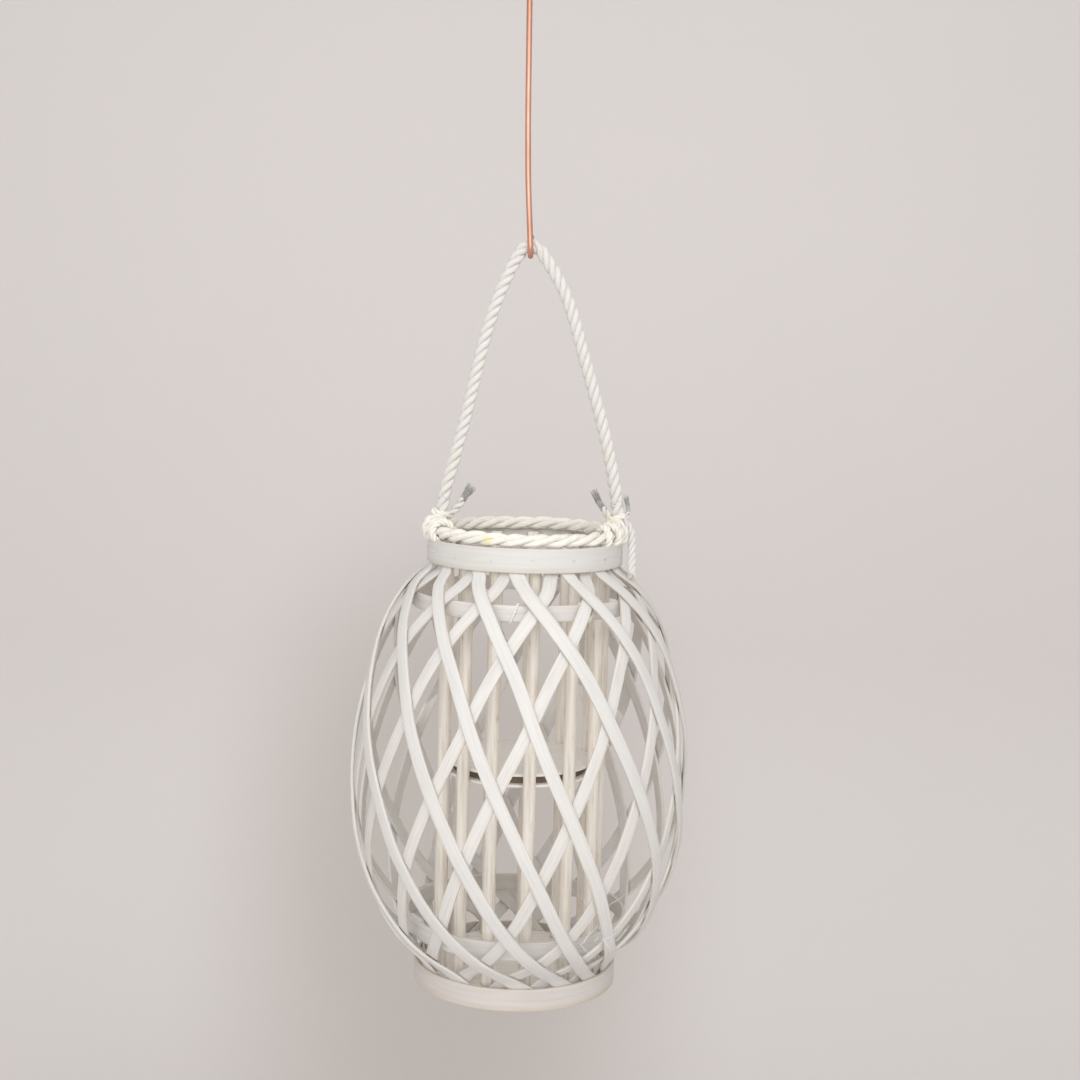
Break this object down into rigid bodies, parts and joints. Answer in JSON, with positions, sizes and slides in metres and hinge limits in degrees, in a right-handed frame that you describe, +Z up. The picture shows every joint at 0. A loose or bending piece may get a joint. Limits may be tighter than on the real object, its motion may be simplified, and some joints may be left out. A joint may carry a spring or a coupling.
{
  "type": "hanging lantern",
  "caption": "Barrel-shaped willow lantern of crossed white strips round an upright stick cage, with a candle platform, hung by a twisted rope handle from a bent copper hook.",
  "frame": {"origin": "middle of the closed eye at the top of the hanging hook, which is what holds the lantern up", "axes": "+Z up along the hanging line, +X to the right along the rope handle's plane, -Y towards the viewer"},
  "size_m": [0.2549, 0.2546, 0.7537],
  "materials": {
    "painted_willow": "thin white wash on split willow",
    "painted_sticks": "thin white wash on round willow, warmer than the strips",
    "chip_wood": "white wash on bent chip wood",
    "painted_board": "white-washed board",
    "white_rope": "three-strand twisted cotton rope",
    "rim_rope": "thick twisted rope with a thin coat of white paint",
    "copper_rod": "bare bent copper, slightly dull",
    "nail_steel": "small nail heads under thin paint"
  },
  "bodies": {
    "hook": {"hanging_hook": "copper_rod"},
    "handle": {"handle_rope": "white_rope"},
    "basket": {"rim_rope": "rim_rope", "left_lashing": "white_rope", "right_lashing": "white_rope", "top_band": "chip_wood", "top_band_nails": "nail_steel", "outer_strip_01": "painted_willow", "outer_strip_02": "painted_willow", "outer_strip_03": "painted_willow", "outer_strip_04": "painted_willow", "outer_strip_05": "painted_willow", "outer_strip_06": "painted_willow", "outer_strip_07": "painted_willow", "outer_strip_08": "painted_willow", "outer_strip_09": "painted_willow", "outer_strip_10": "painted_willow", "outer_strip_11": "painted_willow", "outer_strip_12": "painted_willow", "outer_strip_13": "painted_willow", "outer_strip_14": "painted_willow", "inner_strip_01": "painted_willow", "inner_strip_02": "painted_willow", "inner_strip_03": "painted_willow", "inner_strip_04": "painted_willow", "inner_strip_05": "painted_willow", "inner_strip_06": "painted_willow", "inner_strip_07": "painted_willow", "inner_strip_08": "painted_willow", "inner_strip_09": "painted_willow", "inner_strip_10": "painted_willow", "inner_strip_11": "painted_willow", "inner_strip_12": "painted_willow", "inner_strip_13": "painted_willow", "inner_strip_14": "painted_willow", "top_hoop": "chip_wood", "bottom_hoop": "chip_wood", "stick_01": "painted_sticks", "stick_02": "painted_sticks", "stick_03": "painted_sticks", "stick_04": "painted_sticks", "stick_05": "painted_sticks", "stick_06": "painted_sticks", "stick_07": "painted_sticks", "stick_08": "painted_sticks", "stick_09": "painted_sticks", "stick_10": "painted_sticks", "stick_11": "painted_sticks", "stick_12": "painted_sticks", "stick_13": "painted_sticks", "platform_board": "painted_board", "platform_ledge": "painted_board", "platform_hoop": "painted_board", "base_board": "painted_board", "bottom_band": "chip_wood"}
  },
  "joints": [
    {"name": "handle_swing", "type": "hinge", "parent": "hook", "child": "handle", "pos_m": [0.0057, 0, -0.1985], "axis": [0, 1, 0], "range_deg": [-25, 25]},
    {"name": "basket_swing", "type": "hinge", "parent": "handle", "child": "basket", "pos_m": [0.0075, 0, -0.379], "axis": [1, 0, 0], "range_deg": [-75, 75]}
  ]
}
